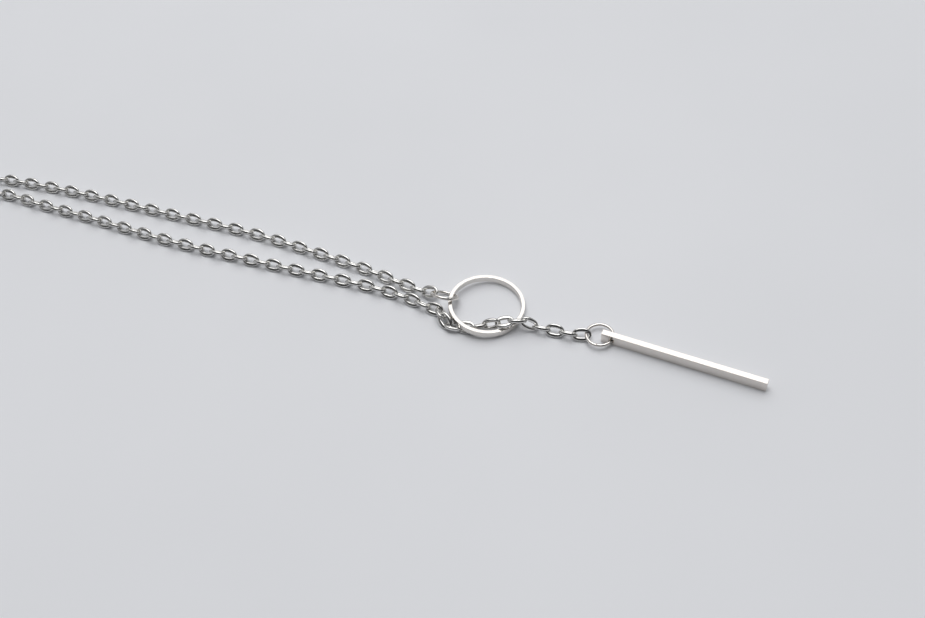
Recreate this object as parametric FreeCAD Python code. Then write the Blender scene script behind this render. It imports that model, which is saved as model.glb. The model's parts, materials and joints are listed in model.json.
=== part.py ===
import FreeCAD, Part
import math
import os

# Lariat necklace laid out on a flat surface, millimetres.
# +Z is up and the surface is Z = 0.  Dimensions below are laid out from the centre
# of the open circle; finished parts are moved so the origin is the middle of the
# flat underside of the bar.

# chain link: a soldered oval of round wire
WIRE = 0.47
LINK_LENGTH = 3.08
LINK_WIDTH = 2.10
LINK_CORNER = 0.78
LINK_ROLL = 45.0
LINK_REST_HEIGHT = 0.813
PITCH_LIMIT = 2.07
ROUTE_PITCH = 2.055

# open circle: a flat band with square edges, one side raised by the chain below it
CIRCLE_OD = 12.0
CIRCLE_BAND = 0.61
CIRCLE_HEIGHT = 0.94
CIRCLE_EDGE = 0.06
CIRCLE_RISE = 1.10

# jump rings
JUMP_WIRE = 0.55
JUMP_RADIUS = 2.03
JUMP_SPLIT = 0.05
JUMP_PLAY = 0.12

# bar
BAR_LENGTH = 25.1
BAR_WIDTH = 0.95
BAR_HEIGHT = 1.90
BAR_EDGE = 0.05
BAR_HOLE_R = 0.42
BAR_HOLE_INSET = 1.68
BAR_END = (16.80, -8.08)
BAR_HEADING = -28.7

# circle jump ring: centre, lean about the rim and turn of its lower axis
CIRCLE_JUMP_CENTRE = (-6.293, 2.369, 1.575)
CIRCLE_JUMP_LEAN = 32.0
CIRCLE_JUMP_DIP = 22.8
CIRCLE_JUMP_TURN = 6.3

# bar jump ring: lies flat, its wire passes through the hole of the bar
BAR_JUMP_HEIGHT = 0.89

# points where one link bears on the next, from strand B through the circle to the bar
STRAND_B_HOOK = (-7.15, -0.02, 0.815)
THREAD_POINTS = [
    (-6.999, -1.487, 1.292),
    (-6.189, -2.974, 0.645),
    (-4.460, -3.390, 0.505),
    (-2.625, -3.876, 0.765),
    (-0.598, -4.011, 1.120),
    (1.403, -4.237, 1.602),
    (3.421, -4.368, 2.010),
    (5.305, -4.583, 1.880),
]
THREAD_ROLLS = [-42.1, 37.5, -19.7, 22.4, -45.6, 75.9, 5.8, -44.9]
DROP_START = (7.00, -5.06, 0.84)
DROP_FIRST_ROLL = -117.0
DROP_END_HEADING = -9.0
DROP_END_RISE = 0.07
DROP_COUNT = 5

# strand A hangs on the circle jump ring
STRAND_A_HOOK = (-7.713, 3.429, 1.352)
STRAND_A_NEXT = (-9.50, 4.32, 0.836)
STRAND_A_ROLL = -28.3

# route of the chain from strand A round behind the neck and back along strand B
ROUTE = [
    (-9.50, 4.32), (-11.9, 5.75), (-18.61, 10.25), (-25.77, 14.5), (-36.5, 20.4),
    (-51.5, 27.3), (-66.5, 34.1), (-77.2, 38.5), (-84.2, 41.0), (-98.0, 46.6),
    (-120.0, 57.0), (-145.0, 66.0), (-172.0, 70.0), (-198.0, 65.0), (-216.0, 51.0),
    (-219.0, 36.0), (-206.0, 24.5), (-184.0, 20.5), (-158.0, 23.5), (-132.0, 30.0),
    (-108.0, 34.6), (-92.0, 36.9), (-83.5, 37.1), (-78.1, 34.6), (-67.1, 29.1),
    (-52.4, 21.5), (-37.5, 14.8), (-26.1, 9.9), (-18.6, 6.65), (-11.2, 2.6), (-9.02, 0.98),
]
STRAND_LINKS = 42
SECTION_LINKS = 21

UP = FreeCAD.Vector(0.0, 0.0, 1.0)


def vec(point):
    return FreeCAD.Vector(*point)


def link_axes(start, end, roll):
    """Length axis, width axis and normal of a link that runs from start to end."""
    along = (end - start).normalize()
    side = along.cross(UP).normalize()
    over = side.cross(along)
    angle = math.radians(roll)
    normal = over * math.cos(angle) + side * math.sin(angle)
    return along, normal.cross(along), normal


def placed(shape, centre, x_axis, y_axis, z_axis):
    rotation = FreeCAD.Rotation(x_axis, y_axis, z_axis, "ZXY")
    result = shape.copy()
    result.Placement = FreeCAD.Placement(centre, rotation)
    return result


def link_template():
    """One closed oval link, its length along X and its width along Y."""
    half_x = (LINK_LENGTH - WIRE) / 2.0 - LINK_CORNER
    half_y = (LINK_WIDTH - WIRE) / 2.0 - LINK_CORNER
    radius = WIRE / 2.0
    pieces = []
    corners = [(half_x, half_y, 0.0), (-half_x, half_y, 90.0), (-half_x, -half_y, 180.0), (half_x, -half_y, 270.0)]
    for x, y, start in corners:
        corner = Part.makeTorus(LINK_CORNER, radius, FreeCAD.Vector(0, 0, 0), UP, -180.0, 180.0, 90.0)
        corner.Placement = FreeCAD.Placement(FreeCAD.Vector(x, y, 0.0), FreeCAD.Rotation(UP, start))
        pieces.append(corner)
    for sign in (-1.0, 1.0):
        end_foot = FreeCAD.Vector(sign * (half_x + LINK_CORNER), -half_y, 0.0)
        pieces.append(Part.makeCylinder(radius, 2.0 * half_y, end_foot, FreeCAD.Vector(0, 1, 0)))
        side_foot = FreeCAD.Vector(-half_x, sign * (half_y + LINK_CORNER), 0.0)
        pieces.append(Part.makeCylinder(radius, 2.0 * half_x, side_foot, FreeCAD.Vector(1, 0, 0)))
    link = pieces[0].fuse(pieces[1:])
    return link.Solids[0]


LINK = link_template()


def link_between(start, end, roll):
    along, across, normal = link_axes(start, end, roll)
    return placed(LINK, (start + end) * 0.5, along, across, normal)


def open_circle():
    outer = CIRCLE_OD / 2.0
    inner = outer - CIRCLE_BAND
    band = Part.makeCylinder(outer, CIRCLE_HEIGHT).cut(Part.makeCylinder(inner, CIRCLE_HEIGHT))
    rims = [edge for edge in band.Edges if len(edge.Vertexes) == 1]
    band = band.makeFillet(CIRCLE_EDGE, rims)
    tilt = math.degrees(math.asin(CIRCLE_RISE / CIRCLE_OD))
    lift = FreeCAD.Vector(0.0, 0.0, CIRCLE_RISE / 2.0)
    band.Placement = FreeCAD.Placement(lift, FreeCAD.Rotation(FreeCAD.Vector(0, 1, 0), tilt))
    return band


def jump_ring():
    """A ring of round wire about Z, its closed split on the +X side."""
    split = math.degrees(JUMP_SPLIT / JUMP_RADIUS)
    ring = Part.makeTorus(JUMP_RADIUS, JUMP_WIRE / 2.0, FreeCAD.Vector(0, 0, 0), UP, -180.0, 180.0, 360.0 - split)
    ring.rotate(FreeCAD.Vector(0, 0, 0), UP, split / 2.0)
    return ring


def circle_jump_ring():
    dip = math.radians(CIRCLE_JUMP_DIP)
    turn = math.radians(CIRCLE_JUMP_TURN)
    lean = math.radians(CIRCLE_JUMP_LEAN)
    first = FreeCAD.Vector(math.cos(dip) * math.cos(turn), math.cos(dip) * math.sin(turn), -math.sin(dip))
    away = UP.cross(first).normalize()
    over = first.cross(away)
    second = away * -math.cos(lean) + over * math.sin(lean)
    normal = first.cross(second)
    return placed(jump_ring(), vec(CIRCLE_JUMP_CENTRE), second, normal.cross(second), normal)


def bar_direction():
    heading = math.radians(BAR_HEADING)
    return FreeCAD.Vector(math.cos(heading), math.sin(heading), 0.0)


def bar_hole_centre():
    start = FreeCAD.Vector(BAR_END[0], BAR_END[1], BAR_HEIGHT / 2.0)
    return start + bar_direction() * BAR_HOLE_INSET


def bar():
    along = bar_direction()
    across = UP.cross(along)
    block = Part.makeBox(BAR_LENGTH, BAR_WIDTH, BAR_HEIGHT, FreeCAD.Vector(0.0, -BAR_WIDTH / 2.0, 0.0))
    block = block.makeFillet(BAR_EDGE, block.Edges)
    drill_foot = FreeCAD.Vector(BAR_HOLE_INSET, -BAR_WIDTH, BAR_HEIGHT / 2.0)
    block = block.cut(Part.makeCylinder(BAR_HOLE_R, 2.0 * BAR_WIDTH, drill_foot, FreeCAD.Vector(0, 1, 0)))
    return placed(block, FreeCAD.Vector(BAR_END[0], BAR_END[1], 0.0), along, across, UP)


def bar_jump_centre():
    centre = bar_hole_centre() - bar_direction() * JUMP_RADIUS
    return FreeCAD.Vector(centre.x, centre.y, BAR_JUMP_HEIGHT)


def bar_jump_ring():
    away = FreeCAD.Vector(0.35, 0.94, 0.0).normalize()
    return placed(jump_ring(), bar_jump_centre(), away, UP.cross(away), UP)


def drop_points():
    """Bearing points from the rim of the circle to the last drop link."""
    heading = math.radians(DROP_END_HEADING)
    run = FreeCAD.Vector(math.cos(heading), math.sin(heading), 0.0)
    bearing = bar_jump_centre() - run * JUMP_RADIUS
    reach = (LINK_LENGTH - WIRE) / 2.0 - (WIRE + JUMP_WIRE) / 2.0 - JUMP_PLAY
    last_centre = bearing - run * reach
    first = vec(DROP_START)
    last = last_centre - run * (PITCH_LIMIT / 2.0)
    last.z = LINK_REST_HEIGHT + DROP_END_RISE / 2.0
    points = [first]
    for step in range(1, DROP_COUNT - 1):
        share = step / float(DROP_COUNT - 2)
        points.append(first * (1.0 - share) + last * share)
    end = last + run * PITCH_LIMIT
    end.z = LINK_REST_HEIGHT + DROP_END_RISE
    points.append(end)
    return points


def thread_joints():
    return [vec(STRAND_B_HOOK)] + [vec(p) for p in THREAD_POINTS]


def threaded_links():
    joints = thread_joints()
    links = []
    for number, roll in enumerate(THREAD_ROLLS):
        links.append(link_between(joints[number], joints[number + 1], roll))
    return links


def drop_links():
    joints = [vec(THREAD_POINTS[-1])] + drop_points()
    rolls = [DROP_FIRST_ROLL]
    for step in range(1, DROP_COUNT):
        rolls.append(LINK_ROLL if step % 2 == 0 else -LINK_ROLL)
    return [link_between(joints[i], joints[i + 1], rolls[i]) for i in range(DROP_COUNT)]


def route_samples():
    curve = Part.BSplineCurve()
    curve.interpolate([FreeCAD.Vector(x, y, LINK_REST_HEIGHT) for x, y in ROUTE])
    return curve.discretize(Number=9000)


def walk(samples, pitch):
    """Points along the route with equal straight distances between them."""
    points = [samples[0]]
    for before, after in zip(samples, samples[1:]):
        reach = (after - points[-1]).Length
        if reach >= pitch:
            short = (before - points[-1]).Length
            share = (pitch - short) / (reach - short)
            points.append(before + (after - before) * share)
    return points, (samples[-1] - points[-1]).Length


def route_joints():
    """Bearing points of an odd number of equal steps from strand A to strand B."""
    samples = route_samples()
    length = sum((b - a).Length for a, b in zip(samples, samples[1:]))
    steps = int(math.ceil(length / ROUTE_PITCH))
    if steps % 2 == 1:
        steps += 1
    low = length / steps * 0.98
    high = length / steps * 1.01
    for _ in range(50):
        pitch = (low + high) / 2.0
        points, _rest = walk(samples, pitch)
        if len(points) > steps:
            low = pitch
        else:
            high = pitch
    points, _rest = walk(samples, low)
    points = points[:steps]
    points.append(samples[-1])
    return points


def route_links():
    joints = route_joints()
    links = []
    for i in range(len(joints) - 1):
        roll = LINK_ROLL if i % 2 == 0 else -LINK_ROLL
        links.append(link_between(joints[i], joints[i + 1], roll))
    return links


def strand_a_end_link():
    return link_between(vec(STRAND_A_HOOK), vec(STRAND_A_NEXT), STRAND_A_ROLL)


def strand_b_end_link():
    start = FreeCAD.Vector(ROUTE[-1][0], ROUTE[-1][1], LINK_REST_HEIGHT)
    return link_between(start, vec(STRAND_B_HOOK), LINK_ROLL)


def chain_sections():
    """Node name to links for strand A, the chain behind the neck and strand B."""
    links = route_links()
    nape_end = len(links) - STRAND_LINKS
    parts = {
        "strand_a": links[:STRAND_LINKS],
        "nape": links[STRAND_LINKS:nape_end],
        "strand_b": links[nape_end:],
    }
    sections = {}
    for name, run in parts.items():
        count = int(math.ceil(len(run) / float(SECTION_LINKS)))
        for index in range(count):
            first = index * len(run) // count
            last = (index + 1) * len(run) // count
            sections["%s_links_%d" % (name, index + 1)] = run[first:last]
    return sections


def all_nodes():
    nodes = {
        "open_circle": [open_circle()],
        "circle_jump_ring": [circle_jump_ring()],
        "strand_a_end_link": [strand_a_end_link()],
        "strand_b_end_link": [strand_b_end_link()],
        "threaded_links": threaded_links(),
        "bar_jump_ring": [bar_jump_ring()],
        "bar": [bar()],
    }
    nodes.update(chain_sections())
    for number, link in enumerate(drop_links()):
        nodes["drop_link_%d" % (number + 1)] = [link]
    return nodes


def bar_underside_middle():
    start = FreeCAD.Vector(BAR_END[0], BAR_END[1], 0.0)
    return start + bar_direction() * (BAR_LENGTH / 2.0)


def main():
    os.makedirs("parts", exist_ok=True)
    origin = bar_underside_middle()
    for name, solids in all_nodes().items():
        for solid in solids:
            solid.translate(-origin)
        shape = solids[0] if len(solids) == 1 else Part.makeCompound(solids)
        shape.exportStep("parts/%s.step" % name)
        print(name, len(solids))


main()
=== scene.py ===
import json
import math
import bpy
import numpy as np
from mathutils import Matrix, Vector


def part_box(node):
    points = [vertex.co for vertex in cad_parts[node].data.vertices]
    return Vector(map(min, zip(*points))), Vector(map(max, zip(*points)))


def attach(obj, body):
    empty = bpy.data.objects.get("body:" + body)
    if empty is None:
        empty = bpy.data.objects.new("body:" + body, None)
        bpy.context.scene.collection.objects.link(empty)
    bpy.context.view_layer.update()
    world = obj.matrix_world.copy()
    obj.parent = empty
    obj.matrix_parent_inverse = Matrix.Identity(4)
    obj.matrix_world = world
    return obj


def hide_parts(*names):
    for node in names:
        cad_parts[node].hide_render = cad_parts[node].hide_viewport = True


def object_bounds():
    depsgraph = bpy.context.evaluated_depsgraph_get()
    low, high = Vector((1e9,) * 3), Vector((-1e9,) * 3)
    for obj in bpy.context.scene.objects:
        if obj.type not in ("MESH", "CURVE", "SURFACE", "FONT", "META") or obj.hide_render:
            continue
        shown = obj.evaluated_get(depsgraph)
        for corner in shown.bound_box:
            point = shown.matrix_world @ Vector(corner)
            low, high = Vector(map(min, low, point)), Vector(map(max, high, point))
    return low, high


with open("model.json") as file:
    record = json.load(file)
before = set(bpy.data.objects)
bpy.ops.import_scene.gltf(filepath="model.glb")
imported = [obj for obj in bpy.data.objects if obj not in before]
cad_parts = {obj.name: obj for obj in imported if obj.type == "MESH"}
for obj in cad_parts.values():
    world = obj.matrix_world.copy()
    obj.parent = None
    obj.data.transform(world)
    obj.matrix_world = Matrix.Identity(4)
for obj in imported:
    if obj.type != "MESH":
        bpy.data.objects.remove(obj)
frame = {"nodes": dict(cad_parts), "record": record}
start_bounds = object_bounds()

# ---------------------------------------------------------------- dimensions, metres
MM = 0.001
WIRE = 0.47 * MM
LINK_LENGTH = 3.08 * MM
LINK_WIDTH = 2.10 * MM
LINK_OVAL = 2.2             # 2 is an ellipse, more is squarer
END_RELIEF = 0.030 * MM     # the wire is this much slimmer on each side at the ends of a link
SIDE_SWELL = 0.090 * MM     # and this much fuller along the sides, in the plane of the link
EDGE_SWELL = 0.048 * MM     # and out of that plane
END_POWER = 2.0             # the section is round at the ends
SIDE_POWER = 2.8            # and slightly flattened along the sides
LINK_STEPS = 72
LINK_SECTION_POINTS = 20
JUMP_WIRE = 0.55 * MM
JUMP_POLISH = 0.020 * MM
JUMP_RADIUS = 2.03 * MM
JUMP_SPLIT = 0.05 * MM
JUMP_STEPS = 128
JUMP_SECTION_POINTS = 24
WELD_DISTANCE = 1e-7

# ---------------------------------------------------------------- metal finish
CLOUD_SHARE = 0.12          # scale of the broad clouds, as a share of the grain's
TINT_LOW, TINT_HIGH = 0.30, 0.72
DULL_BLUE = 0.99            # dull patches are a little warmer
GRAIN_LOW, GRAIN_HIGH = 0.3, 0.7
BRIGHT_SHARE, DULL_SHARE = 0.7, 1.35
GRAIN_DEPTH = 0.00002

# ---------------------------------------------------------------- floor, light and camera
FLOOR_HALF = 3.0
FLOOR_ROUGHNESS = 0.55
FLOOR_SPECULAR = 0.25
FLOOR_CLOUD_SCALE = 14.0
FLOOR_DARK = (0.825, 0.835, 0.862, 1.0)
FLOOR_LIGHT = (0.852, 0.862, 0.890, 1.0)
FLOOR_LOW, FLOOR_HIGH = 0.35, 0.70
# name, place from the circle, size along X and Y, watts, colour
PANELS = (
    ("window_panel", (0.0, 0.62, 0.76), 1.1, 0.6, 2.35, (1.0, 0.99, 0.98)),
    ("top_panel", (0.0, 0.12, 0.95), 0.85, 0.60, 4.1, (1.0, 1.0, 1.0)),
)
ROOM_DARK = (0.05, 0.05, 0.052, 1.0)
ROOM_LIGHT = (0.36, 0.365, 0.375, 1.0)
ROOM_LOW, ROOM_HIGH = 0.25, 0.52
CAMERA_OFFSET = (-0.003775, -0.110664, 0.131398)
CAMERA_RIGHT = (0.9953, -0.0742, -0.0629)
CAMERA_UP = (0.0973, 0.7596, 0.6431)
CAMERA_SENSOR = 36.0
CAMERA_LENS = 42.81


# ---------------------------------------------------------------- materials
def node(tree, kind, **sockets):
    """A shader node with plain values on its input sockets."""
    made = tree.nodes.new(kind)
    for name, value in sockets.items():
        made.inputs[name.replace("_", " ")].default_value = value
    return made


def silver(name, color, roughness, grain, grain_scale, mottle):
    """Polished metal: fine drawn grain, faint handling marks and uneven shine."""
    mat = bpy.data.materials.new(name)
    mat.use_nodes = True
    tree = mat.node_tree
    tree.nodes.clear()
    out = tree.nodes.new("ShaderNodeOutputMaterial")
    bsdf = node(tree, "ShaderNodeBsdfPrincipled", Metallic=1.0)
    coord = tree.nodes.new("ShaderNodeTexCoord")
    cloud = node(tree, "ShaderNodeTexNoise", Scale=grain_scale * CLOUD_SHARE, Detail=4.0, Roughness=0.6)
    fine = node(tree, "ShaderNodeTexNoise", Scale=grain_scale, Detail=6.0, Roughness=0.65)
    for texture in (cloud, fine):
        tree.links.new(coord.outputs["Object"], texture.inputs["Vector"])
    tint = tree.nodes.new("ShaderNodeValToRGB")
    tint.color_ramp.elements[0].position = TINT_LOW
    tint.color_ramp.elements[1].position = TINT_HIGH
    dull = [channel * (1.0 - mottle) for channel in color]
    tint.color_ramp.elements[0].color = (dull[0], dull[1], dull[2] * DULL_BLUE, 1.0)
    tint.color_ramp.elements[1].color = (color[0], color[1], color[2], 1.0)
    tree.links.new(cloud.outputs["Fac"], tint.inputs["Fac"])
    tree.links.new(tint.outputs["Color"], bsdf.inputs["Base Color"])
    rough = node(tree, "ShaderNodeMapRange", From_Min=GRAIN_LOW, From_Max=GRAIN_HIGH,
                 To_Min=roughness * BRIGHT_SHARE, To_Max=roughness * DULL_SHARE)
    tree.links.new(fine.outputs["Fac"], rough.inputs["Value"])
    tree.links.new(rough.outputs["Result"], bsdf.inputs["Roughness"])
    bump = node(tree, "ShaderNodeBump", Strength=grain, Distance=GRAIN_DEPTH)
    tree.links.new(fine.outputs["Fac"], bump.inputs["Height"])
    tree.links.new(bump.outputs["Normal"], bsdf.inputs["Normal"])
    tree.links.new(bsdf.outputs["BSDF"], out.inputs["Surface"])
    return mat


CHAIN = silver("chain_silver", (0.76, 0.752, 0.735), 0.12, 0.22, 9000.0, 0.12)
RINGS = silver("polished_silver", (0.79, 0.760, 0.728), 0.15, 0.15, 7000.0, 0.06)
SATIN = silver("satin_silver", (0.80, 0.758, 0.722), 0.20, 0.20, 8000.0, 0.05)


# ---------------------------------------------------------------- mesh helpers
def superellipse(half_x, half_y, power, count):
    """Points round a rounded oval; a high power gives flat sides and tight corners."""
    points = []
    for i in range(count):
        a = 2.0 * math.pi * (i + 0.5) / count
        c = math.cos(a)
        s = math.sin(a)
        points.append((half_x * math.copysign(abs(c) ** (2.0 / power), c),
                       half_y * math.copysign(abs(s) ** (2.0 / power), s)))
    return points


def tube(path, normals, sections, closed):
    """Vertices and faces of one section per path point; normals lie in the path's plane."""
    verts = []
    count = len(sections[0])
    for point, normal, section in zip(path, normals, sections):
        for across, over in section:
            verts.append((point[0] + normal[0] * across, point[1] + normal[1] * across, over))
    faces = []
    rows = len(path) if closed else len(path) - 1
    for row in range(rows):
        a = row * count
        b = ((row + 1) % len(path)) * count
        for i in range(count):
            j = (i + 1) % count
            faces.append((a + i, b + i, b + j, a + j))
    if not closed:
        faces.append(tuple(range(count)))
        last = (len(path) - 1) * count
        faces.append(tuple(last + count - 1 - i for i in range(count)))
    return np.array(verts), faces


def link_mesh():
    """One soldered oval link, length along X and width along Y, its wire fuller along the sides."""
    long_half = (LINK_LENGTH - WIRE) / 2.0
    side_half = (LINK_WIDTH - WIRE) / 2.0 - SIDE_SWELL
    path = []
    normals = []
    sections = []
    for step in range(LINK_STEPS):
        a = 2.0 * math.pi * step / LINK_STEPS
        c = math.cos(a)
        s = math.sin(a)
        reach = (abs(c / long_half) ** LINK_OVAL + abs(s / side_half) ** LINK_OVAL) ** (-1.0 / LINK_OVAL)
        x = reach * c
        y = reach * s
        path.append((x, y))
        out = Vector((math.copysign(abs(x / long_half) ** (LINK_OVAL - 1.0), x) / long_half,
                      math.copysign(abs(y / side_half) ** (LINK_OVAL - 1.0), y) / side_half)).normalized()
        normals.append((out.x, out.y))
        fuller = abs(y / side_half) ** 2
        power = END_POWER + (SIDE_POWER - END_POWER) * fuller
        worn = WIRE / 2.0 - END_RELIEF * (1.0 - fuller)
        sections.append(superellipse(worn + SIDE_SWELL * fuller, worn + EDGE_SWELL * fuller,
                                     power, LINK_SECTION_POINTS))
    return tube(path, normals, sections, True)


def new_object(name, verts, faces, material, smooth=True):
    """A mesh object in the scene, with one material."""
    mesh = bpy.data.meshes.new(name)
    mesh.from_pydata([tuple(v) for v in verts], [], faces)
    mesh.update()
    mesh.polygons.foreach_set("use_smooth", [smooth] * len(mesh.polygons))
    mesh.materials.append(material)
    made = bpy.data.objects.new(name, mesh)
    bpy.context.scene.collection.objects.link(made)
    return made


def mesh_points(mesh):
    """The mesh's vertices as rows of X, Y and Z."""
    coords = np.empty(len(mesh.vertices) * 3)
    mesh.vertices.foreach_get("co", coords)
    return coords.reshape(-1, 3)


def solids_of(obj):
    """Centre, long axis, cross axis and normal of every separate solid in a CAD node."""
    mesh = obj.data
    coords = mesh_points(mesh)
    mesh.calc_loop_triangles()
    tris = np.empty(len(mesh.loop_triangles) * 3, dtype=np.int64)
    mesh.loop_triangles.foreach_get("vertices", tris)
    tris = tris.reshape(-1, 3)
    _, first, joined = np.unique(np.round(coords / WELD_DISTANCE).astype(np.int64), axis=0,
                                 return_index=True, return_inverse=True)
    joined = joined.reshape(-1)
    tris = joined[tris]
    coords = coords[first]
    label = np.arange(len(coords))
    while True:
        low = label[tris].min(axis=1)
        fresh = label.copy()
        for corner in range(3):
            np.minimum.at(fresh, tris[:, corner], low)
        fresh = fresh[fresh]
        if np.array_equal(fresh, label):
            break
        label = fresh
    found = []
    for tag in np.unique(label):
        part = coords[tris[label[tris[:, 0]] == tag]]
        area = np.linalg.norm(np.cross(part[:, 1] - part[:, 0], part[:, 2] - part[:, 0]), axis=1)
        mids = part.mean(axis=1)
        centre = (mids * area[:, None]).sum(axis=0) / area.sum()
        spread = mids - centre
        _, axes = np.linalg.eigh((spread * area[:, None]).T @ spread / area.sum())
        along = axes[:, 2]
        across = axes[:, 1]
        found.append((centre, along, across, np.cross(along, across)))
    return found


# ---------------------------------------------------------------- chain and jump rings
def chain_piece(name, body, number):
    """The fine links that stand for one CAD node of chain."""
    verts, faces = link_mesh()
    count = len(verts)
    all_verts = []
    all_faces = []
    for index, (centre, along, across, normal) in enumerate(solids_of(frame["nodes"][name])):
        flip = -1.0 if (index + number) % 2 else 1.0
        axes = np.array([along * flip, across * flip, normal])
        all_verts.append(verts @ axes + centre)
        all_faces.extend([tuple(v + index * count for v in face) for face in faces])
    made = new_object(name + "_fine", np.vstack(all_verts), all_faces, CHAIN)
    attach(made, body)
    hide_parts(name)


def jump_piece(name, body):
    """A round-wire jump ring with its closed split left open by a hair."""
    coords = mesh_points(frame["nodes"][name].data)
    middle = (coords.max(axis=0) + coords.min(axis=0)) / 2.0
    flat = coords - middle
    _, axes = np.linalg.eigh(flat.T @ flat)
    normal = axes[:, 0]
    side = axes[:, 2]
    other = np.cross(normal, side)
    half = JUMP_SPLIT / JUMP_RADIUS / 2.0
    path = []
    normals = []
    for step in range(JUMP_STEPS + 1):
        a = half + (2.0 * math.pi - 2.0 * half) * step / JUMP_STEPS
        path.append((JUMP_RADIUS * math.cos(a), JUMP_RADIUS * math.sin(a)))
        normals.append((math.cos(a), math.sin(a)))
    wire_half = JUMP_WIRE / 2.0 - JUMP_POLISH
    section = superellipse(wire_half, wire_half, 2.0, JUMP_SECTION_POINTS)
    verts, faces = tube(path, normals, [section] * len(path), False)
    verts = verts @ np.array([side, other, normal]) + middle
    made = new_object(name + "_fine", verts, faces, RINGS)
    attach(made, body)
    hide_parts(name)


bodies = frame["record"]["behaviour"]["bodies"]
body_of = {name: body for body, names in bodies.items() for name in names}
number = 0
for name, body in body_of.items():
    if "link" in name:
        chain_piece(name, body, number)
        number += 1
    elif "jump_ring" in name:
        jump_piece(name, body)


# ---------------------------------------------------------------- circle and bar keep their CAD shape
for name, material in (("open_circle", RINGS), ("bar", SATIN)):
    for place in frame["nodes"][name].material_slots:
        place.material = material


# ---------------------------------------------------------------- floor
def floor_material():
    """Pale matt stone with faint clouds."""
    mat = bpy.data.materials.new("floor")
    mat.use_nodes = True
    tree = mat.node_tree
    bsdf = tree.nodes["Principled BSDF"]
    bsdf.inputs["Roughness"].default_value = FLOOR_ROUGHNESS
    bsdf.inputs["Specular IOR Level"].default_value = FLOOR_SPECULAR
    coord = tree.nodes.new("ShaderNodeTexCoord")
    cloud = node(tree, "ShaderNodeTexNoise", Scale=FLOOR_CLOUD_SCALE, Detail=3.0, Roughness=0.5)
    tone = tree.nodes.new("ShaderNodeValToRGB")
    tone.color_ramp.elements[0].position = FLOOR_LOW
    tone.color_ramp.elements[1].position = FLOOR_HIGH
    tone.color_ramp.elements[0].color = FLOOR_DARK
    tone.color_ramp.elements[1].color = FLOOR_LIGHT
    tree.links.new(coord.outputs["Object"], cloud.inputs["Vector"])
    tree.links.new(cloud.outputs["Fac"], tone.inputs["Fac"])
    tree.links.new(tone.outputs["Color"], bsdf.inputs["Base Color"])
    return mat


low, high = start_bounds
corners = [(-FLOOR_HALF, -FLOOR_HALF, 0.0), (FLOOR_HALF, -FLOOR_HALF, 0.0),
           (FLOOR_HALF, FLOOR_HALF, 0.0), (-FLOOR_HALF, FLOOR_HALF, 0.0)]
floor = new_object("floor", corners, [(0, 1, 2, 3)], floor_material(), smooth=False)
floor.location = Vector(((low[0] + high[0]) / 2.0, (low[1] + high[1]) / 2.0, 0.0))


# ---------------------------------------------------------------- light
def circle_centre():
    """The point of the floor under the middle of the circle."""
    lowest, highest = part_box("open_circle")
    return Vector(((lowest[0] + highest[0]) / 2.0, (lowest[1] + highest[1]) / 2.0, 0.0))


focus = circle_centre()


def panel(name, offset, size_x, size_y, energy, color):
    """A soft rectangular light that faces the circle."""
    data = bpy.data.lights.new(name, "AREA")
    data.shape = "RECTANGLE"
    data.size = size_x
    data.size_y = size_y
    data.energy = energy
    data.color = color
    made = bpy.data.objects.new(name, data)
    made.location = focus + Vector(offset)
    made.rotation_euler = (-Vector(offset)).to_track_quat("-Z", "Y").to_euler()
    bpy.context.scene.collection.objects.link(made)


def room():
    """A world that is dark behind the camera and pale beyond the object."""
    world = bpy.data.worlds.new("studio")
    bpy.context.scene.world = world
    world.use_nodes = True
    tree = world.node_tree
    back = tree.nodes["Background"]
    back.inputs["Strength"].default_value = 1.0
    coord = tree.nodes.new("ShaderNodeTexCoord")
    split = tree.nodes.new("ShaderNodeSeparateXYZ")
    tree.links.new(coord.outputs["Generated"], split.inputs["Vector"])
    shift = node(tree, "ShaderNodeMapRange", From_Min=-1.0, From_Max=1.0)
    fade = tree.nodes.new("ShaderNodeValToRGB")
    fade.color_ramp.interpolation = "EASE"
    fade.color_ramp.elements[0].position = ROOM_LOW
    fade.color_ramp.elements[0].color = ROOM_DARK
    fade.color_ramp.elements[1].position = ROOM_HIGH
    fade.color_ramp.elements[1].color = ROOM_LIGHT
    tree.links.new(split.outputs["Y"], shift.inputs["Value"])
    tree.links.new(shift.outputs["Result"], fade.inputs["Fac"])
    tree.links.new(fade.outputs["Color"], back.inputs["Color"])


for entry in PANELS:
    panel(*entry)
room()


# ---------------------------------------------------------------- camera at the photograph's viewing angle
def studio_camera():
    """The scene's camera, placed from the circle."""
    data = bpy.data.cameras.new("camera")
    data.sensor_width = CAMERA_SENSOR
    data.lens = CAMERA_LENS
    data.clip_start = 0.01
    data.clip_end = 20.0
    camera = bpy.data.objects.new("camera", data)
    bpy.context.scene.collection.objects.link(camera)
    right = Vector(CAMERA_RIGHT)
    up = Vector(CAMERA_UP)
    back = right.cross(up).normalized()
    place = focus + Vector(CAMERA_OFFSET)
    camera.matrix_world = Matrix((
        (right.x, up.x, back.x, place.x),
        (right.y, up.y, back.y, place.y),
        (right.z, up.z, back.z, place.z),
        (0.0, 0.0, 0.0, 1.0)))
    bpy.context.scene.camera = camera


studio_camera()
bpy.context.scene.view_settings.view_transform = "Standard"
